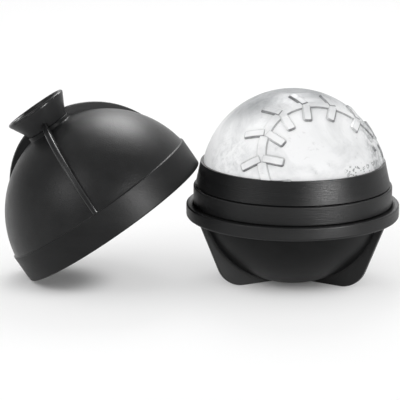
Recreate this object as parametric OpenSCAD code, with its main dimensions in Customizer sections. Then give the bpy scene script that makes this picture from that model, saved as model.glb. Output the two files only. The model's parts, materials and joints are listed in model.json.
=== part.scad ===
// Ice ball mould in two halves: a footed base holding a ball of ice, and a lid with a filling funnel
// that leans beside it. Millimetres, +Z up, origin on the table under the centre of the base.

/* [Ice ball] */
// Diameter of the ball of ice
ball_d = 62; // [50:0.5:76]
// Number of stitches around the whole seam
stitch_count = 29; // [20:1:44]
// Height of the stitches above the ball
stitch_h = 0.6; // [0.3:0.05:0.8]
// Width of one leg of a stitch
stitch_w = 2.4; // [1:0.1:3]
// Length of one leg of a stitch
stitch_l = 7.5; // [4:0.5:10]
// Angle between a leg and the square to the seam
stitch_sweep = 16; // [0:1:40]
// Height of the seam strip above the ball
seam_h = 0.4; // [0.2:0.05:0.6]
// Width of the seam strip
seam_w = 3; // [2:0.1:5]

/* [Walls] */
// Thickness of the silicone liners
liner_t = 1.5; // [1.2:0.1:3]
// Thickness of the rigid outer shells
shell_t = 2.2; // [1.6:0.1:4]
// Gap between the ice and the liners
ice_gap = 0.1; // [0.05:0.05:0.2]
// Gap between pieces that are pressed together
fit_gap = 0.05; // [0.02:0.01:0.1]
// Gap between the lid and the rings that it slides over
lid_gap = 0.2; // [0.1:0.05:0.5]

/* [Base] */
// Depth of the flat cut off the underside of the bowl
bottom_cut = 0.5; // [0.3:0.1:2]
// Drop from the centre of the ball to the top of the flange
flange_drop = 7.7; // [5:0.1:12]
// Thickness of the flange
flange_t = 4.5; // [2:0.1:8]
// How far the flange stands out from the bowl's own radius
flange_out = 1.2; // [0.8:0.1:6]
// Size of the small bevel on the flange and ring edges, and under the lip
edge_bevel = 0.4; // [0.2:0.1:0.8]
// Height of the sealing ring
seal_h = 6.3; // [4:0.1:10]
// Thickness of the sealing ring
seal_t = 1.2; // [0.8:0.1:2]
// How far the liner's neck is set in under the sealing ring
neck_step = 0.3; // [0.1:0.05:0.6]
// Height of the liner's lip above the sealing ring
lip_h = 8.15; // [5:0.05:12]
// How far the lip is set back from the sealing ring, at its foot
lip_step = 0.7; // [0.4:0.1:1]
// How far the lip leans in from its foot to its rim
lip_taper = 1.7; // [1:0.1:1.8]

/* [Feet] */
// Number of feet, and of ribs on the lid
fin_count = 3; // [3:1:6]
// Thickness of the feet and ribs
fin_t = 1.5; // [1:0.1:3]
// Turn of the first foot to the left of the front
foot_turn = 62.5; // [0:0.5:120]
// Slope of a foot's outer edge above the table
foot_slope = 67; // [55:1:80]
// Radius of the round corner under each foot
foot_round = 10; // [4:0.5:14]
// How far a foot's top end is set in from the flange edge
foot_inset = 1; // [0.5:0.1:4]

/* [Lid] */
// How far the skirt reaches down over the sealing ring
skirt_reach = 2.9; // [1.5:0.1:3.5]
// Height of the skirt band
skirt_h = 9.9; // [6:0.1:16]
// Thickness of the skirt below its shoulder
skirt_t = 1.1; // [0.8:0.1:2]
// Height that the ribs' arc is raised above the dome's centre
rib_rise = 3.4; // [2.5:0.1:5]
// Turn of the first rib to the left of the front
rib_turn = -8.5; // [-60:0.5:60]

/* [Funnel] */
// Height of the flat collar above the top of the dome
collar_h = 0.5; // [0.2:0.1:2]
// Radius of the flat collar
collar_r = 7.8; // [7.5:0.1:12]
// Outer radius of the funnel where it stands on the collar
neck_r = 7.2; // [6.2:0.1:7.4]
// Outer radius of the funnel at its mouth
mouth_r = 10.95; // [9:0.05:16]
// Height of the funnel above the collar
funnel_h = 7.7; // [5:0.1:14]
// Radius of the filling hole
throat_r = 4; // [2.5:0.1:4.5]
// Wall of the spigot that plugs into the dome
spigot_t = 1.2; // [0.8:0.1:1.5]
// Radius of the round bead on the mouth
bead_r = 0.75; // [0.4:0.05:1.2]
// Height of the funnel's inside floor above the collar
funnel_floor = 1; // [0.5:0.1:3]

/* [Lid placement] */
// Where the lid is: leaning beside the base, or closed on it
lid_state = "leaning"; // [leaning, closed]
// Lean of the lid from upright, to the left
lid_lean = 34.7; // [20:0.1:50]
// Turn of the leaning lid, its top away from the front
lid_yaw = 5.8; // [-20:0.1:30]
// Gap between the leaning lid's rim and the base, and the ball's way up
lid_clear = 0.25; // [0.2:0.05:20]
// Distance of the leaning lid's centre behind the base's centre
lid_back = 1.4; // [-10:0.1:10]

/* [Hidden] */
$fn = 96;

black_plastic = "#2a2b2d";
black_silicone = "#232425";
clear_ice = "#e9eef0";

// Spheres about the ball's centre, from the ice outwards
ball_r = ball_d / 2;
cavity_r = ball_r + ice_gap;
liner_r = cavity_r + liner_t;
shell_in_r = liner_r + fit_gap;
shell_r = liner_r + shell_t;
relief_h = max(stitch_h, seam_h);

// Heights from the ball's centre, which both halves share when the mould is closed
ball_z = shell_r - bottom_cut;
flange_top = -flange_drop;
flange_bottom = flange_top - flange_t;
seal_top = flange_top + seal_h;
lip_top = seal_top + lip_h;
skirt_bottom = seal_top - skirt_reach;
skirt_top = skirt_bottom + skirt_h;
collar_top = shell_r + collar_h;

// Radii of the rings that the lid slides over
flange_r = shell_r + flange_out;
liner_neck_r = liner_r - neck_step;
seal_in_r = liner_neck_r + fit_gap;
seal_r = seal_in_r + seal_t;
lip_foot_r = seal_r - lip_step;
lip_rim_r = lip_foot_r - lip_taper;
skirt_in_r = seal_r + lid_gap;
skirt_r = max(skirt_in_r + skirt_t, shell_r + fit_gap);
rib_r = norm([skirt_r, skirt_top - rib_rise]);
spigot_r = throat_r + spigot_t;

// How far pieces of one moulding run into each other, and cutters run past a face
sink = 1;

// Straight steps in the round corner of a foot
foot_arcs = 10;

// Seam: a closed curve on the unit ball with two lobes, like the seam of a ball sewn from two strips
seam_share = 0.16;
seam_lift = 2 * sqrt(seam_share * (1 - seam_share));
seam_rotation = [-46.7, -11.8, 84.4];
seam_start = 9.6;
seam_step = 360 / stitch_count;
seam_speed = sqrt(1 + 8 * seam_share);
seam_bar_l = ball_r * seam_speed * seam_step * PI / 180;

function seam_point(t) = [
    (1 - seam_share) * cos(t) + seam_share * cos(3 * t),
    (1 - seam_share) * sin(t) - seam_share * sin(3 * t),
    seam_lift * sin(2 * t)
];

function seam_tangent(t) = let (d = [
    -(1 - seam_share) * sin(t) - 3 * seam_share * sin(3 * t),
    (1 - seam_share) * cos(t) - 3 * seam_share * cos(3 * t),
    2 * seam_lift * cos(2 * t)
]) d / norm(d);

// Height of a seam point over the ball's centre, once the seam is turned into place
function turned_z(p, r) = -sin(r.y) * p.x + cos(r.y) * (sin(r.x) * p.y + cos(r.x) * p.z);

// The two corners of the skirt's lower rim, out from the lid's axis and up from its centre
rim_corners = [[skirt_r - edge_bevel, skirt_bottom], [skirt_r, skirt_bottom + edge_bevel]];

// The leaning lid touches the table at the lowest point of its rim
lid_centre_z = max([for (c = rim_corners) c.x * sin(lid_lean) - c.y * cos(lid_lean)]);

// A point of the leaning lid's rim from the lid's centre, at an angle round from the highest one
function rim_point(c, a) = let (
    out = c.x * cos(a) * cos(lid_lean) - c.y * sin(lid_lean),
    side = c.x * sin(a)
) [
    out * cos(lid_yaw) + side * sin(lid_yaw),
    side * cos(lid_yaw) - out * sin(lid_yaw),
    c.x * cos(a) * sin(lid_lean) + c.y * cos(lid_lean)
];

// Radius of the base at a height over the ball's centre
function base_r(z) =
    z > lip_top ? 0 :
    z > seal_top ? lip_foot_r - lip_taper * (z - seal_top) / lip_h :
    z > flange_top ? seal_r : flange_r;

// How far left the lid's centre stands when this rim point just clears the base and the ball's way up
function left_of_base(p) = let (
    r = lid_clear + max(ball_r + relief_h, base_r(p.z + lid_centre_z - ball_z)),
    y = lid_back + p.y
) abs(y) < r ? p.x + sqrt(r * r - y * y) : 0;

lid_left = max([for (c = rim_corners, a = [-60 : 60]) left_of_base(rim_point(c, a))]);

// Stands the children on the ball at a seam point, +Z outwards and +X along the seam
module on_seam(t) {
    p = seam_point(t);
    d = seam_tangent(t);
    polar = acos(p.z);
    around = atan2(p.y, p.x);
    down = [cos(polar) * cos(around), cos(polar) * sin(around), -sin(polar)];
    sideways = [-sin(around), cos(around), 0];
    rotate([0, polar, around]) rotate([0, 0, atan2(d * sideways, d * down)])
        translate([0, 0, ball_r]) children();
}

// A bar laid along the ball's surface, deep enough to reach into it at both ends
module surface_bar(length, width) {
    depth = length * length / ball_r + 2 * relief_h;
    translate([0, -width / 2, -depth]) cube([length, width, depth + 2 * relief_h]);
}

// Raised seam between two heights over the ball's centre; grow widens it for the liners' grooves
module seam_relief(low, high, grow = 0) {
    steps = [for (k = [0 : stitch_count - 1])
        let (t = seam_start + k * seam_step, z = ball_r * turned_z(seam_point(t), seam_rotation))
        if (z > low - stitch_l && z < high + stitch_l) t];
    intersection() {
        sphere(ball_r + seam_h + grow);
        rotate(seam_rotation) for (t = steps)
            on_seam(t) translate([-seam_bar_l / 2, 0, 0])
                surface_bar(seam_bar_l, seam_w + 2 * grow);
    }
    intersection() {
        sphere(ball_r + stitch_h + grow);
        rotate(seam_rotation) for (t = steps, side = [-1, 1])
            on_seam(t) rotate([0, 0, side * (90 + stitch_sweep)])
                surface_bar(stitch_l + grow, stitch_w + 2 * grow);
    }
}

// A disc with a small bevel on both rims
module bevelled_disc(r, low, high) {
    b = edge_bevel;
    rotate_extrude()
        polygon([[0, low], [r - b, low], [r, low + b], [r, high - b], [r - b, high], [0, high]]);
}

// A solid disc that fills everything between two heights
module slab(low, high, r = 2 * shell_r) {
    translate([0, 0, low]) cylinder(h = high - low, r = r);
}

// Outline of a foot: a sloped edge that rounds off onto the table, drawn out from the axis
function foot_outline() = let (
    top = [flange_r - foot_inset, ball_z + flange_bottom],
    reach = (foot_round + (top.y - foot_round) * cos(foot_slope)) / sin(foot_slope),
    centre = [top.x - reach, foot_round]
) concat(
    [[0, 0]],
    [for (k = [0 : foot_arcs]) let (a = -90 + foot_slope * k / foot_arcs)
        centre + foot_round * [cos(a), sin(a)]],
    [top, [0, top.y]]
);

module around_fins(turn) {
    for (k = [0 : fin_count - 1])
        rotate([0, 0, -turn - 90 + k * 360 / fin_count]) children();
}

module in_base() {
    translate([0, 0, ball_z]) children();
}

module in_lid() {
    if (lid_state == "closed")
        translate([0, 0, ball_z]) rotate([0, 0, rib_turn - foot_turn]) children();
    else
        translate([-lid_left, lid_back, lid_centre_z])
            rotate([0, 0, -lid_yaw]) rotate([0, -lid_lean, 0]) children();
}

// Base: bowl, flange and feet in one moulding
module base_shell() {
    color(black_plastic) in_base() difference() {
        union() {
            intersection() {
                sphere(shell_r);
                slab(-ball_z, flange_top);
            }
            bevelled_disc(flange_r, flange_bottom, flange_top);
            around_fins(foot_turn) translate([0, 0, -ball_z]) rotate([90, 0, 0])
                linear_extrude(height = fin_t, center = true) polygon(foot_outline());
        }
        sphere(shell_in_r);
    }
}

// Outside of the liner's lip, which leans in from its bevelled foot to its rim
module leaning_lip() {
    rotate_extrude() polygon([
        [0, seal_top], [lip_foot_r - edge_bevel, seal_top], [lip_foot_r, seal_top + edge_bevel],
        [lip_rim_r, lip_top], [0, lip_top]
    ]);
}

// Base liner: soft cup with a leaning lip that holds the ball a little above its middle
module base_liner() {
    color(black_silicone) in_base() difference() {
        union() {
            intersection() {
                sphere(liner_r);
                slab(-ball_z, flange_top);
            }
            slab(flange_top, seal_top, liner_neck_r);
            leaning_lip();
        }
        sphere(cavity_r);
        seam_relief(-ball_r, lip_top, ice_gap);
    }
}

// Sealing ring round the liner's neck, held between the flange and the lip
module seal_ring() {
    color(black_silicone) in_base() difference() {
        bevelled_disc(seal_r, flange_top, seal_top);
        slab(flange_top - sink, seal_top + sink, seal_in_r);
    }
}

// Ball of ice, flat on top where the filling hole was
module ice_ball() {
    color(clear_ice) in_base() {
        intersection() {
            sphere(ball_r);
            slab(-shell_r, sqrt(pow(ball_r, 2) - pow(throat_r, 2)));
        }
        seam_relief(-ball_r, ball_r);
    }
}

// Outside of the funnel down to the end of its spigot, with a gap all round where grow is set
module funnel_outside(low, grow = 0) {
    translate([0, 0, collar_top])
        cylinder(h = funnel_h - bead_r, r1 = neck_r + grow, r2 = mouth_r + grow);
    slab(low, collar_top + grow, spigot_r + grow);
}

// Outline of a rib: the crescent between its own arc and the dome, sunk a little into the dome
module rib_outline() {
    difference() {
        intersection() {
            translate([0, rib_rise]) circle(rib_r);
            translate([spigot_r + sink, skirt_top - sink]) square([rib_r, 2 * rib_r]);
        }
        circle(shell_r - sink);
    }
}

// Lid: dome, skirt band, collar and ribs in one moulding
module lid_shell() {
    color(black_plastic) in_lid() difference() {
        union() {
            intersection() {
                sphere(shell_r);
                slab(skirt_bottom, shell_r);
            }
            bevelled_disc(skirt_r, skirt_bottom, skirt_top);
            slab(0, collar_top, collar_r);
            around_fins(rib_turn) rotate([90, 0, 0])
                linear_extrude(height = fin_t, center = true) rib_outline();
        }
        sphere(shell_in_r);
        slab(skirt_bottom - sink, seal_top, skirt_in_r);
        translate([0, 0, seal_top])
            cylinder(h = lip_h, r1 = lip_foot_r + lid_gap, r2 = lip_rim_r + lid_gap);
        funnel_outside(0, fit_gap);
    }
}

// Lid liner: soft cap inside the dome that meets the base liner's rim
module lid_liner() {
    color(black_silicone) in_lid() difference() {
        intersection() {
            sphere(liner_r);
            slab(lip_top + lid_gap, shell_r);
        }
        sphere(cavity_r);
        slab(0, shell_r, throat_r);
        rotate([0, 0, foot_turn - rib_turn]) seam_relief(lip_top, ball_r, ice_gap);
    }
}

// Funnel: cup with a beaded mouth and a spigot that ends on the lid liner
module fill_funnel() {
    spigot_bottom = sqrt(pow(liner_r, 2) - pow(throat_r, 2)) + fit_gap;
    color(black_plastic) in_lid() {
        difference() {
            funnel_outside(spigot_bottom);
            slab(spigot_bottom - sink, collar_top + funnel_h, throat_r);
            translate([0, 0, collar_top + funnel_floor])
                cylinder(h = funnel_h - funnel_floor, r1 = throat_r, r2 = mouth_r - 2 * bead_r);
        }
        rotate_extrude() translate([mouth_r - bead_r, collar_top + funnel_h - bead_r]) circle(bead_r);
    }
}

base_shell();
base_liner();
seal_ring();
ice_ball();
lid_shell();
lid_liner();
fill_funnel();
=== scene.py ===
import json
import math
import random

import bmesh
import bpy
from mathutils import Euler, Matrix, Vector


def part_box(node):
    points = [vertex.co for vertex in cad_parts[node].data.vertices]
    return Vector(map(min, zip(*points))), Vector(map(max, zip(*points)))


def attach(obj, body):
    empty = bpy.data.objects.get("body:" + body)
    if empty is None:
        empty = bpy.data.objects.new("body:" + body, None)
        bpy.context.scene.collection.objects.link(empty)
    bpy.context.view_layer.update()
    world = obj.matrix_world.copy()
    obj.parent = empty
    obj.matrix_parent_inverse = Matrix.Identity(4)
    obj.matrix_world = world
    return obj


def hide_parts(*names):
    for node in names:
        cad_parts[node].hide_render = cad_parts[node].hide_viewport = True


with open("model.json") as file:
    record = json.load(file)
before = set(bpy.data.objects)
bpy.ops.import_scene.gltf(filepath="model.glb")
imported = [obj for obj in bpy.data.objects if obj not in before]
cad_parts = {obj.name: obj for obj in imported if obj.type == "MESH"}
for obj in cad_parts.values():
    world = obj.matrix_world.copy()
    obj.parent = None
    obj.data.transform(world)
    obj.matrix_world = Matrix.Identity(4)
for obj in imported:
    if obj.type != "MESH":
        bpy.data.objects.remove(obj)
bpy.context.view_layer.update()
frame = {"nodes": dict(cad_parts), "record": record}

mm = 0.001
print("frame loaded:", len(frame["nodes"]), "CAD nodes")

# sizes are in millimetres, and heights count from the centre of each half's sphere
ball = {"radius": 31.0, "centreHeight": 34.3, "flatRadius": 4.0, "stepsAround": 160, "stepsUp": 100}
walls = {"outside": 34.8, "inside": 32.65}  # the rigid wall of the bowl and of the dome
floorZ = -ball["centreHeight"]
touching = 0.1  # how near counts as on an edge
weld, outlineWeld = 1e-4, 0.02  # how near counts as one point
basePlace = Matrix.Translation((0, 0, ball["centreHeight"] * mm)) @ Matrix.Scale(mm, 4)

# the lid leans: its axis and place come from the filling hole's mount
throat = next(m for m in frame["record"]["mounts"] if m["name"] == "fill_throat")
throatHeight = 33.57  # the mount's height over the lid's centre
lidAxis = Vector(throat["axis"]).normalized()
lidLean = math.acos(lidAxis.z)
lidYaw = math.atan2(lidAxis.y, -lidAxis.x)
lidCentre = Vector(throat["pos_m"]) - lidAxis * throatHeight * mm
lidTurn = Matrix.Rotation(-lidYaw, 4, "Z") @ Matrix.Rotation(-lidLean, 4, "Y")
lidPlace = Matrix.Translation(lidCentre) @ lidTurn @ Matrix.Scale(mm, 4)


def heightsMm(node):
    low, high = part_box(node)
    return low.z / mm - ball["centreHeight"], high.z / mm - ball["centreHeight"]


def radiusOf(p):
    return math.hypot(p.x, p.y)


def angleAt(r, z):
    return math.degrees(math.atan2(z, r))


def across(radius, z):
    return math.sqrt(max(0, radius ** 2 - z ** 2))


def onlyVerts(geom):
    return [g for g in geom if isinstance(g, bmesh.types.BMVert)]


def everything(bm):
    return bm.verts[:] + bm.edges[:] + bm.faces[:]


# outlines are drawn in the r, z plane and then turned about the axis or extruded
def startPath(r, z):
    bm = bmesh.new()
    return bm, bm.verts.new((r, 0, z))


def linesTo(bm, tip, *corners):
    for r, z in corners:
        tip = bmesh.ops.extrude_vert_indiv(bm, verts=[tip])["verts"][0]
        tip.co = (r, 0, z)
    return tip


def arcTo(bm, tip, r, z, sweep, stepAngle=2.5):
    steps = max(2, round(abs(sweep) / stepAngle))
    made = bmesh.ops.spin(bm, geom=[tip], cent=(r, 0, z), axis=(0, -1, 0),
                          angle=math.radians(sweep), steps=steps)
    return onlyVerts(made["geom_last"])[0]


def sphereTo(bm, tip, z, r=None):
    # follows the sphere through the tip, up or down to a height, or to a radius near the top
    radius = tip.co.length
    target = angleAt(across(radius, z), z) if r is None else angleAt(r, across(radius, r))
    return arcTo(bm, tip, 0, 0, target - angleAt(tip.co.x, tip.co.z))


def lathe(bm, steps=180):
    bmesh.ops.spin(bm, geom=bm.verts[:] + bm.edges[:], cent=(0, 0, 0), axis=(0, 0, 1),
                   angle=2 * math.pi, steps=steps, use_merge=True)
    bmesh.ops.remove_doubles(bm, verts=bm.verts[:], dist=weld)
    bmesh.ops.recalc_face_normals(bm, faces=bm.faces[:])


def latheRing(inside, outside, low, high):
    bm, first = startPath(inside, low)
    tip = linesTo(bm, first, (outside, low), (outside, high), (inside, high))
    bm.edges.new((tip, first))
    lathe(bm)
    return bm


def blade(bm, thickness):
    bmesh.ops.remove_doubles(bm, verts=bm.verts[:], dist=outlineWeld)
    bmesh.ops.contextual_create(bm, geom=bm.verts[:] + bm.edges[:])
    made = bmesh.ops.extrude_face_region(bm, geom=bm.faces[:])["geom"]
    bmesh.ops.translate(bm, verts=onlyVerts(made), vec=(0, thickness, 0))
    bmesh.ops.translate(bm, verts=bm.verts[:], vec=(0, -thickness / 2, 0))
    bmesh.ops.recalc_face_normals(bm, faces=bm.faces[:])


def aroundAxis(bm, firstAngle, count):
    bmesh.ops.rotate(bm, verts=bm.verts[:], cent=(0, 0, 0),
                     matrix=Matrix.Rotation(math.radians(firstAngle), 3, "Z"))
    first = everything(bm)
    for k in range(1, count):
        copy = bmesh.ops.duplicate(bm, geom=first)["geom"]
        bmesh.ops.rotate(bm, verts=onlyVerts(copy), cent=(0, 0, 0),
                         matrix=Matrix.Rotation(2 * math.pi * k / count, 3, "Z"))


def softenEdges(bm, width, minAngle=28, segments=3, only=None):
    limit = math.radians(minAngle)
    sharp = [e for e in bm.edges if len(e.link_faces) == 2 and e.calc_face_angle(0) > limit]
    if only:
        sharp = [e for e in sharp if only((e.verts[0].co + e.verts[1].co) / 2)]
    bmesh.ops.bevel(bm, geom=sharp, offset=width, offset_type="OFFSET", segments=segments,
                    profile=0.5, affect="EDGES", material=-1, clamp_overlap=True)


def keepMesh(bm, name):
    mesh = bpy.data.meshes.new(name)
    bm.to_mesh(mesh)
    bm.free()
    return mesh


def makePiece(name, bm, place, materials, body, nodes):
    bm.transform(place)
    mesh = keepMesh(bm, name)
    mesh.polygons.foreach_set("use_smooth", [True] * len(mesh.polygons))
    for material in materials:
        mesh.materials.append(material)
    piece = bpy.data.objects.new(name, mesh)
    bpy.context.scene.collection.objects.link(piece)
    weights = piece.modifiers.new("weights", "WEIGHTED_NORMAL")
    weights.keep_sharp = True
    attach(piece, body)
    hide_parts(*nodes)
    print(name, len(mesh.polygons), "faces")


# shader helpers
def addNode(tree, kind, **values):
    node = tree.nodes.new(kind)
    for key, value in values.items():
        if hasattr(node, key):
            setattr(node, key, value)
        else:
            node.inputs[key.replace("_", " ")].default_value = value
    return node


def ramp(tree, value, low, high, start=0.0, end=1.0):
    node = addNode(tree, "ShaderNodeMapRange", interpolation_type="SMOOTHSTEP",
                   From_Min=low, From_Max=high, To_Min=start, To_Max=end)
    tree.links.new(value, node.inputs["Value"])
    return node.outputs["Result"]


def sums(tree, operation, first, second=0.0, clamp=False):
    node = addNode(tree, "ShaderNodeMath", operation=operation, use_clamp=clamp)
    for socket, value in zip(node.inputs, (first, second)):
        if isinstance(value, float):
            socket.default_value = value
        else:
            tree.links.new(value, socket)
    return node.outputs["Value"]


def toPoint(tree, operation, where, point):
    # the distance to a point, or how far a direction lies along it
    node = addNode(tree, "ShaderNodeVectorMath", operation=operation)
    node.inputs[1].default_value = point
    tree.links.new(where, node.inputs[0])
    return node.outputs["Value"]


def near(tree, where, point, far, close):
    return ramp(tree, toPoint(tree, "DISTANCE", where, point), far, close)


def paint(tree, base, colour, amount):
    node = addNode(tree, "ShaderNodeMix", data_type="RGBA")
    node.inputs["B"].default_value = (*colour, 1)
    tree.links.new(amount, node.inputs["Factor"])
    if isinstance(base, tuple):
        node.inputs["A"].default_value = (*base, 1)
    else:
        tree.links.new(base, node.inputs["A"])
    return node.outputs["Result"]


def splitAxes(tree, where):
    node = addNode(tree, "ShaderNodeSeparateXYZ")
    tree.links.new(where, node.inputs["Vector"])
    return node.outputs


def startMaterial(name):
    material = bpy.data.materials.new(name)
    material.use_nodes = True
    tree = material.node_tree
    return material, tree, tree.nodes["Principled BSDF"]


# fine grain for the bump and broad clouding for the tone of all the blacks
def makeGrainGroup(look):
    tree = bpy.data.node_groups.new("mouldGrain", "ShaderNodeTree")
    for name, kind in (("Scale", "NodeSocketFloat"), ("Stretch", "NodeSocketVector")):
        tree.interface.new_socket(name=name, in_out="INPUT", socket_type=kind)
    for name in ("Height", "Tone"):
        tree.interface.new_socket(name=name, in_out="OUTPUT", socket_type="NodeSocketFloat")
    given, result = tree.nodes.new("NodeGroupInput"), tree.nodes.new("NodeGroupOutput")
    stretch = addNode(tree, "ShaderNodeVectorMath", operation="MULTIPLY")
    fine, broad = (addNode(tree, "ShaderNodeTexNoise", Detail=detail, Roughness=rough)
                   for detail, rough in (look["fine"], look["broad"]))
    broadScale = sums(tree, "MULTIPLY", given.outputs["Scale"], look["broadShare"])
    link = tree.links.new
    link(addNode(tree, "ShaderNodeTexCoord").outputs["Object"], stretch.inputs[0])
    link(given.outputs["Stretch"], stretch.inputs[1])
    link(stretch.outputs["Vector"], fine.inputs["Vector"])
    link(given.outputs["Scale"], fine.inputs["Scale"])
    link(stretch.outputs["Vector"], broad.inputs["Vector"])
    link(broadScale, broad.inputs["Scale"])
    link(fine.outputs["Fac"], result.inputs["Height"])
    link(ramp(tree, broad.outputs["Fac"], *look["toneBand"]), result.inputs["Tone"])
    return tree


# noises as detail and roughness
mouldGrain = makeGrainGroup({"fine": (4.0, 0.6), "broad": (5.0, 0.62), "broadShare": 0.06,
                             "toneBand": (0.3, 0.7)})
mouldedLook = {"grainScale": 2600.0, "grainStretch": (1, 1, 1), "bumpDepth": 0.0002}


def blackFinish(name, changes):
    look = {**mouldedLook, **changes}
    material, tree, shader = startMaterial(name)
    link = tree.links.new
    grain = addNode(tree, "ShaderNodeGroup", node_tree=mouldGrain)
    grain.inputs["Scale"].default_value = look["grainScale"]
    grain.inputs["Stretch"].default_value = look["grainStretch"]
    tone = grain.outputs["Tone"]
    leastRough, mostRough = look["roughness"]
    rough = addNode(tree, "ShaderNodeMapRange", To_Min=leastRough, To_Max=mostRough)
    bump = addNode(tree, "ShaderNodeBump", Strength=look["bump"], Distance=look["bumpDepth"])
    link(paint(tree, look["dark"], look["light"], tone), shader.inputs["Base Color"])
    link(tone, rough.inputs["Value"])
    link(rough.outputs["Result"], shader.inputs["Roughness"])
    link(grain.outputs["Height"], bump.inputs["Height"])
    link(bump.outputs["Normal"], shader.inputs["Normal"])
    shader.inputs["Specular IOR Level"].default_value = look["specular"]
    return material


satinBlack = blackFinish("satinBlack", {  # the dome and the tops of its ribs
    "dark": (0.0075, 0.0077, 0.008), "light": (0.0105, 0.0107, 0.011), "roughness": (0.3, 0.37),
    "bump": 0.4, "specular": 0.19})
beadBlack = blackFinish("beadBlack", {  # the funnel's bead
    "dark": (0.0075, 0.0077, 0.008), "light": (0.0105, 0.0107, 0.011), "roughness": (0.19, 0.25),
    "bump": 0.05, "specular": 0.22})
edgeBlack = blackFinish("edgeBlack", {  # the ribs' rounded edges, rubbed glossy
    "dark": (0.0075, 0.0077, 0.008), "light": (0.0105, 0.0107, 0.011), "roughness": (0.2, 0.27),
    "bump": 0.05, "specular": 0.45})
bandBlack = blackFinish("bandBlack", {  # the lid's skirt band
    "dark": (0.0085, 0.0087, 0.009), "light": (0.0115, 0.0117, 0.012), "roughness": (0.4, 0.48),
    "bump": 0.3, "specular": 0.15, "grainScale": 3200.0, "grainStretch": (0.3, 0.3, 1)})
# a darker copy of the black, painted as shade
shadedBlack = blackFinish("shadedBlack", {  # the bowl, the collar and the sides of the ribs
    "dark": (0.0045, 0.0047, 0.0049), "light": (0.007, 0.0072, 0.0074), "roughness": (0.34, 0.42),
    "bump": 0.1, "specular": 0.11})
turnedBlack = blackFinish("turnedBlack", {  # the flange and the sealing ring
    "dark": (0.0065, 0.0067, 0.007), "light": (0.01, 0.0102, 0.0105), "roughness": (0.4, 0.5),
    "bump": 0.35, "specular": 0.25, "grainScale": 4200.0, "grainStretch": (0.04, 0.04, 1)})
footBlack = blackFinish("footBlack", {
    "dark": (0.009, 0.0092, 0.0094), "light": (0.013, 0.0132, 0.0135), "roughness": (0.36, 0.44),
    "bump": 0.12, "specular": 0.3})
cupBlack = blackFinish("cupBlack", {  # the funnel's outside
    "dark": (0.03, 0.0303, 0.0308), "light": (0.037, 0.0373, 0.0378), "roughness": (0.34, 0.42),
    "bump": 0.12, "specular": 0.1})
# the funnel's inside, darker than its outside: painted shade in the hollow
shadedCupInside = blackFinish("shadedCupInside", {
    "dark": (0.014, 0.0142, 0.0145), "light": (0.019, 0.0192, 0.0195), "roughness": (0.48, 0.56),
    "bump": 0.12, "specular": 0.06})
softBlack = blackFinish("softBlack", {  # the liners
    "dark": (0.0055, 0.0057, 0.0059), "light": (0.009, 0.0092, 0.0095), "roughness": (0.31, 0.44),
    "bump": 0.5, "specular": 0.2, "grainScale": 4200.0, "grainStretch": (0.06, 0.06, 1)})

# places and reaches in metres, noises as scale, detail, roughness and distortion
iceLook = {
    # clear is the grey painted as shade where the ice is clearer
    "cloudy": (0.905, 0.91, 0.915), "clear": (0.27, 0.28, 0.29), "grey": (0.45, 0.46, 0.47),
    # edge is the dark of the marks in the ice and of the painted shade on the relief walls
    "edge": (0.085, 0.088, 0.092), "roughBand": (0.3, 0.7), "roughness": (0.3, 0.5),
    "specular": 0.2, "ior": 1.31, "glow": 0.3, "glowReach": 0.0012,
    "bump": 0.35, "bumpDepth": 0.0004,
    "cloud": (48.0, 6.0, 0.62, 0.6), "smudge": (420.0, 6.0, 0.7, 0.5),
    "clearBand": (0.0535, 0.0655), "backShare": 0.15, "swayBand": (0.3, 0.7), "sway": 0.25,
    "fleckBand": (0.58, 0.72), "fleck": 0.2,
    "patchAt": (-0.022, -0.017, 0.046), "patchReach": (0.013, 0.004),
    "patchBand": (0.42, 0.6), "patch": 0.3,
    "rightBand": (0.0125, 0.02), "rightShare": 0.6, "rightBack": (0.014, 0.002),
    "rightShadeBand": (0.35, 0.6), "paintedRightShade": (0.12, 0.62),
    "squiggle": (170.0, 2.5, 0.55, 1.6), "squiggleLevel": 0.5, "squiggleLine": (0.004, 0.035),
    "squiggleMark": 0.42,
    "bubbleScale": 680.0, "bubbleSize": (0.1, 0.4), "bubbleLine": (0.05, 0.16),
    "bubbleMark": 0.65, "bubblesAt": (0.0229, -0.0195, 0.0415), "bubblesReach": (0.01, 0.007),
    "bubbleTop": (0.0452, 0.0435), "bubbleLow": (0.0385, 0.0395),
    "waverScale": 420.0, "waverDetail": 3.0, "waver": (0.0022, 0.0022, 0.0022),
    "wallBand": (0.3, 0.6), "wallShare": (0.7, 1.0)}


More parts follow.
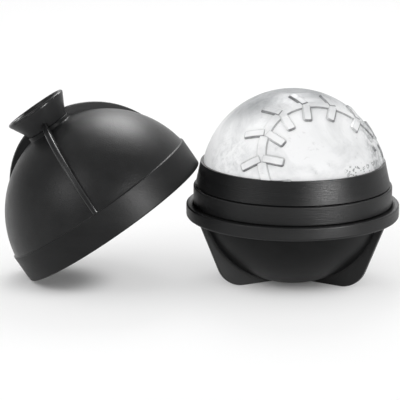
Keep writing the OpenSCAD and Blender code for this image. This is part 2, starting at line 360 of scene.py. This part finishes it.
def makeIce(look):
    material, tree, shader = startMaterial("ice")
    link = tree.links.new
    where = addNode(tree, "ShaderNodeTexCoord").outputs["Object"]
    x, y, z = splitAxes(tree, where)

    def noise(scale, detail, rough, distortion):
        node = addNode(tree, "ShaderNodeTexNoise", Scale=scale, Detail=detail, Roughness=rough,
                       Distortion=distortion)
        link(where, node.inputs["Vector"])
        return node.outputs["Fac"]

    def times(first, second):
        return sums(tree, "MULTIPLY", first, second)

    def gap(first, second):
        return sums(tree, "ABSOLUTE", sums(tree, "SUBTRACT", first, second))

    cloud, smudge = noise(*look["cloud"]), noise(*look["smudge"])
    # clearer ice towards the top, and more so behind and on the left, its grey painted in as shade
    slope = sums(tree, "ADD", z, times(sums(tree, "SUBTRACT", y, x), look["backShare"]))
    sway = ramp(tree, cloud, *look["swayBand"], -look["sway"], look["sway"])
    clear = sums(tree, "ADD", ramp(tree, slope, *look["clearBand"]), sway, True)
    flecks = ramp(tree, smudge, *look["fleckBand"], 0.0, look["fleck"])
    patches = times(near(tree, where, look["patchAt"], *look["patchReach"]),
                    ramp(tree, smudge, *look["patchBand"]))
    # painted grey shade and dark squiggles on the right, standing in for the seam seen from its end
    # through the ice
    rightSide = ramp(tree, sums(tree, "ADD", x, times(y, look["rightShare"])), *look["rightBand"])
    rightSide = times(rightSide, ramp(tree, y, *look["rightBack"]))
    paintedRightShade = times(rightSide, ramp(tree, smudge, *look["rightShadeBand"], *look["paintedRightShade"]))
    offLine = gap(noise(*look["squiggle"]), look["squiggleLevel"])
    squiggles = times(rightSide,
                      ramp(tree, offLine, *look["squiggleLine"], look["squiggleMark"], 0.0))
    # small uneven bubbles in a row just over the lip
    waver = addNode(tree, "ShaderNodeTexNoise", Scale=look["waverScale"],
                    Detail=look["waverDetail"])
    wavering = addNode(tree, "ShaderNodeVectorMath", operation="MULTIPLY_ADD")
    wavering.inputs[1].default_value = look["waver"]
    cells = addNode(tree, "ShaderNodeTexVoronoi", Scale=look["bubbleScale"])
    size = addNode(tree, "ShaderNodeSeparateColor")
    link(where, waver.inputs["Vector"])
    link(waver.outputs["Color"], wavering.inputs[0])
    link(where, wavering.inputs[2])
    link(wavering.outputs["Vector"], cells.inputs["Vector"])
    link(cells.outputs["Color"], size.inputs["Color"])
    bubble = ramp(tree, size.outputs["Red"], 0.0, 1.0, *look["bubbleSize"])
    offRing = gap(cells.outputs["Distance"], bubble)
    belt = times(ramp(tree, z, *look["bubbleTop"]), ramp(tree, z, *look["bubbleLow"]))
    belt = times(belt, near(tree, where, look["bubblesAt"], *look["bubblesReach"]))
    bubbles = times(ramp(tree, offRing, *look["bubbleLine"], look["bubbleMark"], 0.0), belt)
    # the painted shade on the walls of the seam and stitches, from the piece's own attribute
    wallShade = addNode(tree, "ShaderNodeAttribute", attribute_name="wallShade").outputs["Fac"]
    wallShade = times(wallShade, ramp(tree, smudge, *look["wallBand"], *look["wallShare"]))
    colour = paint(tree, look["cloudy"], look["clear"], clear)
    colour = paint(tree, colour, look["clear"], paintedRightShade)
    colour = paint(tree, colour, look["grey"], times(patches, look["patch"]))
    # flecks and bubbles are marks in the ice; the squiggles and the walls' marks are painted shade
    for mark in (flecks, squiggles, bubbles, wallShade):
        colour = paint(tree, colour, look["edge"], mark)
    bump = addNode(tree, "ShaderNodeBump", Strength=look["bump"], Distance=look["bumpDepth"])
    link(colour, shader.inputs["Base Color"])
    link(ramp(tree, smudge, *look["roughBand"], *look["roughness"]), shader.inputs["Roughness"])
    link(smudge, bump.inputs["Height"])
    link(bump.outputs["Normal"], shader.inputs["Normal"])
    shader.inputs["IOR"].default_value = look["ior"]
    shader.inputs["Specular IOR Level"].default_value = look["specular"]
    shader.inputs["Subsurface Weight"].default_value = look["glow"]
    shader.inputs["Subsurface Radius"].default_value = (1, 1, 1)
    shader.inputs["Subsurface Scale"].default_value = look["glowReach"]
    return material


ice = makeIce(iceLook)
print("materials ready")


# base bowl
bowl = {"flangeBottom": -12.2, "flangeTop": heightsMm("base_shell")[1], "underFlangeTop": 0.3,
        "edge": 0.3}
rimZ = bowl["flangeTop"] - bowl["underFlangeTop"]
bm, tip = startPath(0, floorZ)
tip = linesTo(bm, tip, (across(walls["outside"], floorZ), floorZ))
tip = sphereTo(bm, tip, rimZ)
tip = linesTo(bm, tip, (across(walls["inside"], rimZ), rimZ))
sphereTo(bm, tip, -walls["inside"])
lathe(bm)
softenEdges(bm, bowl["edge"])
# the bowl in the darker black, painted as shade under the mould
makePiece("base_bowl", bm, basePlace, [shadedBlack], "base", ["base_shell"])

# the bowl's flange, turned smooth, rounder on its underside
flange = {"inside": 32.2, "outside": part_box("base_shell")[1].x / mm, "topEdge": 0.5,
          "underEdge": 0.9, "minAngle": 60, "segments": 4}


def onFlangeEdge(p, z):
    return abs(p.z - z) < touching and radiusOf(p) > flange["outside"] - touching


bm = latheRing(flange["inside"], flange["outside"], bowl["flangeBottom"], bowl["flangeTop"])
for edge, z in (("underEdge", bowl["flangeBottom"]), ("topEdge", bowl["flangeTop"])):
    softenEdges(bm, flange[edge], flange["minAngle"], flange["segments"],
                lambda p: onFlangeEdge(p, z))
makePiece("base_flange", bm, basePlace, [turnedBlack], "base", ["base_shell"])

# three feet, thin blades that run down from the flange and round off onto the table
feet = {"count": 3, "firstAngle": -152.5, "thickness": 1.5, "slope": 67.0, "round": 10.0,
        "roundStep": 5, "topRadius": 35.0, "sunk": 0.57, "intoFlange": 0.6, "edge": 0.3,
        "minAngle": 40}
slope = math.radians(feet["slope"])
rise = bowl["flangeBottom"] - floorZ - feet["round"]
roundReach = (feet["round"] + rise * math.cos(slope)) / math.sin(slope)
roundR, roundZ = feet["topRadius"] - roundReach, floorZ + feet["round"]
innerSphere = walls["outside"] - feet["sunk"]
topZ = bowl["flangeBottom"] + feet["intoFlange"]
lowZ = floorZ + feet["sunk"]
bm, tip = startPath(across(innerSphere, topZ), topZ)
tip = linesTo(bm, tip, (feet["topRadius"] + feet["intoFlange"] / math.tan(slope), topZ),
              (roundR + feet["round"] * math.sin(slope), roundZ - feet["round"] * math.cos(slope)))
tip = arcTo(bm, tip, roundR, roundZ, -feet["slope"], feet["roundStep"])
tip = linesTo(bm, tip, (across(walls["outside"], floorZ) + feet["sunk"], floorZ),
              (across(innerSphere, lowZ), lowZ))
sphereTo(bm, tip, topZ)
blade(bm, feet["thickness"])
softenEdges(bm, feet["edge"], feet["minAngle"])
aroundAxis(bm, feet["firstAngle"], feet["count"])
makePiece("base_feet", bm, basePlace, [footBlack], "base", ["base_shell"])

# sealing ring between the flange and the lip
seal = {"inside": 32.35, "outside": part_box("seal_ring")[1].x / mm, "edge": 0.4}
bm = latheRing(seal["inside"], seal["outside"], *heightsMm("seal_ring"))
softenEdges(bm, seal["edge"])
makePiece("seal_band", bm, basePlace, [turnedBlack], "base", ["seal_ring"])

# lid: dome, skirt band and collar
dome = {"skirtBottom": -4.3, "skirtTop": 5.6, "skirtRadius": 34.85, "skirtInside": 33.75,
        "shoulder": -1.4, "shoulderRadius": 33.05, "seatTop": 0.5, "collarTop": 35.3,
        "collarRadius": 7.8, "collarRise": 1.3, "hole": 5.25, "edge": 0.3,
        "rimRound": 0.62, "rimFrom": 34.3, "rimAngle": 60, "rimSegments": 5}
bm, first = startPath(dome["hole"], dome["collarTop"])
tip = linesTo(bm, first, (dome["collarRadius"], dome["collarTop"]),
              (dome["collarRadius"], across(walls["outside"], dome["collarRadius"])))
tip = sphereTo(bm, tip, dome["skirtTop"])
tip = linesTo(bm, tip, (dome["skirtRadius"], dome["skirtTop"]),
              (dome["skirtRadius"], dome["skirtBottom"]),
              (dome["skirtInside"], dome["skirtBottom"]),
              (dome["skirtInside"], dome["shoulder"]),
              (dome["shoulderRadius"], dome["shoulder"]),
              (across(walls["inside"], dome["seatTop"]), dome["seatTop"]))
tip = sphereTo(bm, tip, None, dome["hole"])
bm.edges.new((tip, first))
lathe(bm)
softenEdges(bm, dome["rimRound"], dome["rimAngle"], dome["rimSegments"],
            lambda p: p.z < dome["skirtBottom"] + touching and radiusOf(p) > dome["rimFrom"])
softenEdges(bm, dome["edge"])
# the skirt band gets its own finish, and the collar at the funnel's foot the darker black, painted
# as shade
for face in bm.faces:
    middle = face.calc_center_median()
    if middle.z < dome["skirtTop"] - touching and radiusOf(middle) > dome["skirtInside"]:
        face.material_index = 1
    elif middle.z > dome["collarTop"] - dome["collarRise"]:
        face.material_index = 2
makePiece("lid_dome", bm, lidPlace, [satinBlack, bandBlack, shadedBlack], "lid",
          ["lid_shell"])

# three ribs from the funnel down to the band
ribs = {"count": 3, "firstAngle": -81.5, "thickness": 2.0, "rise": 3.4, "topRadius": 6.2,
        "sunk": 1.0, "edge": 0.6, "minAngle": 40, "sideFrom": 0.97, "edgeFrom": 0.12}
startZ = dome["skirtTop"] - ribs["rise"]
ribArc = math.hypot(dome["skirtRadius"], startZ)
startAngle = angleAt(dome["skirtRadius"], startZ)
endAngle = angleAt(ribs["topRadius"], across(ribArc, ribs["topRadius"]))
innerSphere = walls["outside"] - ribs["sunk"]
bm, first = startPath(dome["skirtRadius"], dome["skirtTop"])
tip = arcTo(bm, first, 0, ribs["rise"], endAngle - startAngle)
tip = linesTo(bm, tip, (ribs["topRadius"], across(innerSphere, ribs["topRadius"])))
tip = sphereTo(bm, tip, dome["skirtTop"] - ribs["sunk"])
bm.edges.new((tip, first))
blade(bm, ribs["thickness"])
softenEdges(bm, ribs["edge"], ribs["minAngle"])
# the flat sides of the ribs get the darker black, painted as shade, and their rounded edges the
# glossier black
for face in bm.faces:
    sideways = abs(face.normal.y)
    if sideways > ribs["sideFrom"]:
        face.material_index = 2
    elif sideways > ribs["edgeFrom"]:
        face.material_index = 1
aroundAxis(bm, ribs["firstAngle"], ribs["count"])
makePiece("lid_ribs", bm, lidPlace, [satinBlack, edgeBlack, shadedBlack], "lid",
          ["lid_shell"])

# filling funnel with a beaded mouth
funnel = {"throat": 4.0, "spigot": 5.2, "spigotBottom": 32.4, "neck": 7.2, "floor": 36.3,
          "bead": 0.75, "beadStep": 18, "beadRadius": 10.2, "beadHeight": 42.25, "edge": 0.3,
          "minAngle": 30, "steps": 96}
bm, first = startPath(funnel["throat"], funnel["spigotBottom"])
tip = linesTo(bm, first, (funnel["spigot"], funnel["spigotBottom"]),
              (funnel["spigot"], dome["collarTop"]),
              (funnel["neck"], dome["collarTop"]),
              (funnel["beadRadius"] + funnel["bead"], funnel["beadHeight"]))
tip = arcTo(bm, tip, funnel["beadRadius"], funnel["beadHeight"], 180, funnel["beadStep"])
tip = linesTo(bm, tip, (funnel["throat"], funnel["floor"]))
bm.edges.new((tip, first))
lathe(bm, funnel["steps"])
softenEdges(bm, funnel["edge"], funnel["minAngle"])
# inside faces in the darker black as painted shade, the bead glossier
for face in bm.faces:
    middle = face.calc_center_median()
    if middle.z > funnel["beadHeight"]:
        face.material_index = 2
    elif face.normal.x * middle.x + face.normal.y * middle.y < 0:
        face.material_index = 1
makePiece("funnel_cup", bm, lidPlace, [cupBlack, shadedCupInside, beadBlack], "lid",
          ["fill_funnel"])

# the ball of ice: a sphere, flat on top, with a raised seam strip and stitches laid on it
# each ring of a relief is how far in or out, how far up or down, and how dark its wall is painted
# as shade
seam = {"share": 0.16, "turn": (-46.7, -11.8, 84.4), "start": 9.6, "count": 29, "sweep": 16.0,
        "sunk": 0.5, "legLength": 7.5, "legWidth": 2.4, "foot": 0.45, "roundEnd": 0.55,
        "roundSegments": 4, "legCuts": (1.5, 3.0, 4.5),
        "legRings": ((0.1, 0.08, 1.0), (0.25, 0.27, 0.8), (0.1, 0.2, 1.0), (0.14, 0.1, 0.8),
                     (0.2, 0, 0.0)),
        "stripWidth": 2.6, "stripHeight": 0.45,
        "stripRings": ((0.08, 0.06, 1.0), (0.3, 0.3, 0.8), (0.1, 0.09, 1.0)),
        # walls that face this side get the most painted shade
        "shadeSide": (0.45, -0.25, -0.86), "darkGain": 1.5, "stripFaint": 0.12,
        "legFaint": 0.45, "faintSpread": 0.12, "leastFaint": 0.08, "seed": 5}
seamTurn = Euler([math.radians(a) for a in seam["turn"]]).to_matrix()
fullTurn, smallTurn = 360, 0.05  # degrees round the seam


def seamPoint(t):
    a, s = math.radians(t), seam["share"]
    return seamTurn @ Vector(((1 - s) * math.cos(a) + s * math.cos(3 * a),
                              (1 - s) * math.sin(a) - s * math.sin(3 * a),
                              2 * math.sqrt(s * (1 - s)) * math.sin(2 * a)))


def seamTangent(t):
    return (seamPoint(t + smallTurn) - seamPoint(t - smallTurn)).normalized()


def onBall(flat, out, along):
    # a point along, across and above the ball's surface
    a = flat.x / ball["radius"]
    side = out.cross(along)
    direction = out * math.cos(a) + along * math.sin(a) + side * math.tan(flat.y / ball["radius"])
    return direction.normalized() * (ball["radius"] + flat.z)


def onSeam(flat):
    return onBall(Vector((0, flat.y, flat.z)), seamPoint(flat.x), seamTangent(flat.x))


def startBar(length, width, z, segments=1):
    # a flat bar from the origin along x, with a layer for how dark its walls are painted as shade
    bm = bmesh.new()
    wallShade = bm.verts.layers.float.new("wallShade")
    bmesh.ops.create_grid(bm, x_segments=segments, y_segments=1, size=0.5)
    bmesh.ops.translate(bm, verts=bm.verts[:], vec=(0.5, 0, 0))
    bmesh.ops.scale(bm, verts=bm.verts[:], vec=(length, width, 1))
    bmesh.ops.translate(bm, verts=bm.verts[:], vec=(0, 0, z))
    return bm, wallShade


def legTemplate():
    # a bar with a sloped foot, drawn from its outline by insets, and closed underneath
    foot = seam["foot"]
    bm, wallShade = startBar(seam["legLength"] + foot, seam["legWidth"] + 2 * foot, -seam["sunk"])
    outer = [v for v in bm.verts if v.co.x > seam["legLength"] / 2]
    bmesh.ops.bevel(bm, geom=outer, offset=seam["roundEnd"] + foot, offset_type="OFFSET",
                    segments=seam["roundSegments"], profile=0.5, affect="VERTICES", material=-1)
    made = bmesh.ops.extrude_face_region(bm, geom=bm.faces[:], use_keep_orig=True)["geom"]
    top = [f for f in made if isinstance(f, bmesh.types.BMFace)]
    bmesh.ops.translate(bm, verts=top[0].verts[:], vec=(0, 0, seam["sunk"]))
    for inset, lift, mark in seam["legRings"]:
        bmesh.ops.inset_region(bm, faces=top, thickness=inset, use_even_offset=True)
        bmesh.ops.translate(bm, verts=top[0].verts[:], vec=(0, 0, lift))
        for v in top[0].verts:
            v[wallShade] = mark
    for cut in seam["legCuts"]:
        bmesh.ops.bisect_plane(bm, geom=everything(bm), plane_co=(cut, 0, 0), plane_no=(1, 0, 0))
    return keepMesh(bm, "legTemplate")


def stripTemplate():
    # a flat closed ribbon, one degree of the seam's turn to a unit of length
    bm, wallShade = startBar(fullTurn, seam["stripWidth"], seam["stripHeight"], fullTurn)
    sides = [e for e in bm.edges if e.is_boundary and e.verts[0].co.y * e.verts[1].co.y > 0]
    for spread, drop, mark in (*seam["stripRings"], (0, seam["sunk"], 0.0)):
        made = bmesh.ops.extrude_edge_only(bm, edges=sides)["geom"]
        sides = [e for e in made if isinstance(e, bmesh.types.BMEdge)]
        for v in onlyVerts(made):
            v.co += Vector((0, math.copysign(spread, v.co.y), -drop))
            v[wallShade] = mark
    return keepMesh(bm, "stripTemplate")


def addBent(bm, flatMesh, bend, faint):
    bent = bmesh.new()
    bent.from_mesh(flatMesh)
    for v in bent.verts:
        v.co = bend(v.co)
    bmesh.ops.remove_doubles(bent, verts=bent.verts[:], dist=weld)
    bmesh.ops.recalc_face_normals(bent, faces=bent.faces[:])
    wallShade = bent.verts.layers.float["wallShade"]
    bent.normal_update()
    shadeSide = Vector(seam["shadeSide"])
    for v in bent.verts:
        # walls that look down and right get the darkest painted shade, the others faint
        out = v.co.normalized()
        facing = (v.normal - out * v.normal.dot(out)).dot(shadeSide)
        v[wallShade] *= faint + (1 - faint) * min(1, max(0, seam["darkGain"] * facing))
    mesh = keepMesh(bent, "bent")
    bm.from_mesh(mesh)
    bpy.data.meshes.remove(mesh)


bm = bmesh.new()
bm.verts.layers.float.new("wallShade")
bmesh.ops.create_uvsphere(bm, u_segments=ball["stepsAround"], v_segments=ball["stepsUp"],
                          radius=ball["radius"])
flatTop = across(ball["radius"], ball["flatRadius"])
bmesh.ops.bisect_plane(bm, geom=everything(bm), plane_co=(0, 0, flatTop), plane_no=(0, 0, 1),
                       clear_outer=True)
bmesh.ops.holes_fill(bm, edges=[e for e in bm.edges if e.is_boundary])
template = legTemplate()
random.seed(seam["seed"])
for k in range(seam["count"]):
    t = seam["start"] + k * fullTurn / seam["count"]
    out, tangent = seamPoint(t), seamTangent(t)
    for side in (-1, 1):
        turn = Matrix.Rotation(math.radians(side * (90 + seam["sweep"])), 3, out)
        along = turn @ tangent
        uneven = random.uniform(-seam["faintSpread"], seam["faintSpread"])
        # faint is how much painted shade the walls away from the shaded side keep
        faint = seam["legFaint"] * (1 + along.z) + uneven  # legs that run upwards show both sides
        addBent(bm, template, lambda flat: onBall(flat, out, along),
                min(1, max(seam["leastFaint"], faint)))
addBent(bm, stripTemplate(), onSeam, seam["stripFaint"])
makePiece("ice_ball_relief", bm, basePlace, [ice], "ice", ["ice_ball"])

# the soft liners keep their CAD form, grooves included
for node in ("base_liner", "lid_liner"):
    frame["nodes"][node].data.materials.clear()
    frame["nodes"][node].data.materials.append(softBlack)
print("pieces ready")


# pale floor: part of its white is its own where it is looked at, less of it close under the mould,
# which paints shadow there
floorLook = {"half": 4.0, "colour": (0.93, 0.93, 0.93, 1), "ownWhite": 0.54, "underWhite": 0.08,
             "baseAt": (0, 0, 0), "baseReach": (0.034, 0.006),
             "lidAt": (-0.082, -0.003, 0), "lidReach": (0.03, 0.003)}
bm = bmesh.new()
bmesh.ops.create_grid(bm, x_segments=1, y_segments=1, size=floorLook["half"])
floor = bpy.data.objects.new("floor", keepMesh(bm, "floor"))
bpy.context.scene.collection.objects.link(floor)
paleFloor, tree, shader = startMaterial("paleFloor")
shader.inputs["Base Color"].default_value = floorLook["colour"]
shader.inputs["Specular IOR Level"].default_value = 0.0
where = addNode(tree, "ShaderNodeTexCoord").outputs["Object"]
# painted shadow: darker close under the base and under the lid's rim
shadeUnderMould = sums(tree, "MAXIMUM", near(tree, where, floorLook["baseAt"], *floorLook["baseReach"]),
             near(tree, where, floorLook["lidAt"], *floorLook["lidReach"]))
ownWhite = ramp(tree, shadeUnderMould, 0.0, 1.0, floorLook["ownWhite"], floorLook["underWhite"])
path = addNode(tree, "ShaderNodeLightPath").outputs
looked = sums(tree, "MAXIMUM", path["Is Camera Ray"], path["Is Glossy Ray"])
looked = sums(tree, "MAXIMUM", looked, path["Is Transmission Ray"])
white = addNode(tree, "ShaderNodeEmission")
white.inputs["Color"].default_value = (1, 1, 1, 1)
mixed = addNode(tree, "ShaderNodeMixShader")
tree.links.new(sums(tree, "MULTIPLY", looked, ownWhite), mixed.inputs["Fac"])
tree.links.new(shader.outputs["BSDF"], mixed.inputs[1])
tree.links.new(white.outputs["Emission"], mixed.inputs[2])
tree.links.new(mixed.outputs["Shader"], tree.nodes["Material Output"].inputs["Surface"])
floor.data.materials.append(paleFloor)

# white studio, softer in front, and darker behind on the left
studioLook = {"depth": (-0.9, 0.9), "white": (0.72, 1.0), "cornerAt": (-0.65, 0.65, 0.3),
              "cornerReach": (0.6, 0.92), "corner": 0.5}
world = bpy.data.worlds.new("studio")
bpy.context.scene.world = world
world.use_nodes = True
tree = world.node_tree
where = addNode(tree, "ShaderNodeTexCoord").outputs["Generated"]
depth = ramp(tree, splitAxes(tree, where)["Y"], *studioLook["depth"], *studioLook["white"])
aside = toPoint(tree, "DOT_PRODUCT", where, Vector(studioLook["cornerAt"]).normalized())
corner = ramp(tree, aside, *studioLook["cornerReach"], 1.0, studioLook["corner"])
looked = addNode(tree, "ShaderNodeLightPath").outputs["Is Camera Ray"]
strength = sums(tree, "MAXIMUM", sums(tree, "MULTIPLY", depth, corner), looked)
sky = tree.nodes["Background"]
sky.inputs["Color"].default_value = (1, 1, 1, 1)
tree.links.new(strength, sky.inputs["Strength"])

# lamps stand round the mould and up in degrees, with sizes in metres and power in watts
# those not soft show only in gloss, and the one without gloss gives only soft light
rig = {"aim": (-0.031, 0, 0.03), "distance": 0.7}
lamps = {
    "keyRight": {"round": 42, "up": 13, "size": (0.1, 0.42), "power": 8.0, "soft": False},
    "topBack": {"round": 176.5, "up": 47, "size": (0.25, 0.25), "power": 1.3},
    "topGloss": {"round": 176.5, "up": 47, "size": (0.18, 0.18), "power": 4.7, "soft": False},
    "tailGloss": {"round": 150, "up": 62, "size": (0.25, 0.25), "power": 1.5, "soft": False},
    "fillLeft": {"round": -50, "up": 31, "size": (0.3, 0.3), "power": 1.4},
    "fillRight": {"round": 75, "up": 20, "size": (0.3, 0.3), "power": 0.4, "gloss": False}}


def outwards(angle, up):
    a, e = math.radians(angle), math.radians(up)
    return Vector((math.sin(a) * math.cos(e), -math.cos(a) * math.cos(e), math.sin(e)))


def lookingIn(outward):
    return (-outward).to_track_quat("-Z", "Y").to_euler()


for name, look in lamps.items():
    data = bpy.data.lights.new(name, "AREA")
    data.shape = "RECTANGLE"
    data.size, data.size_y = look["size"]
    data.energy = look["power"]
    lamp = bpy.data.objects.new(name, data)
    back = outwards(look["round"], look["up"])
    lamp.location = Vector(rig["aim"]) + back * rig["distance"]
    lamp.rotation_euler = lookingIn(back)
    lamp.visible_diffuse = look.get("soft", True)
    lamp.visible_glossy = look.get("gloss", True)
    bpy.context.scene.collection.objects.link(lamp)
print("stage and lamps ready")

# camera at the photo's angle
view = {"elevation": 13.855, "distance": 772.0, "aim": (-31.34, 0, 27.26), "sensor": 36.0,
        "focalPixels": 2280.0, "pixels": 400.0}
camData = bpy.data.cameras.new("camera")
camData.sensor_width = view["sensor"]
camData.lens = view["sensor"] * view["focalPixels"] / view["pixels"]
camera = bpy.data.objects.new("camera", camData)
back = outwards(0, view["elevation"])
camera.location = (Vector(view["aim"]) + back * view["distance"]) * mm
camera.rotation_euler = lookingIn(back)
bpy.context.scene.collection.objects.link(camera)
bpy.context.scene.camera = camera
bpy.context.scene.view_settings.view_transform = "Standard"
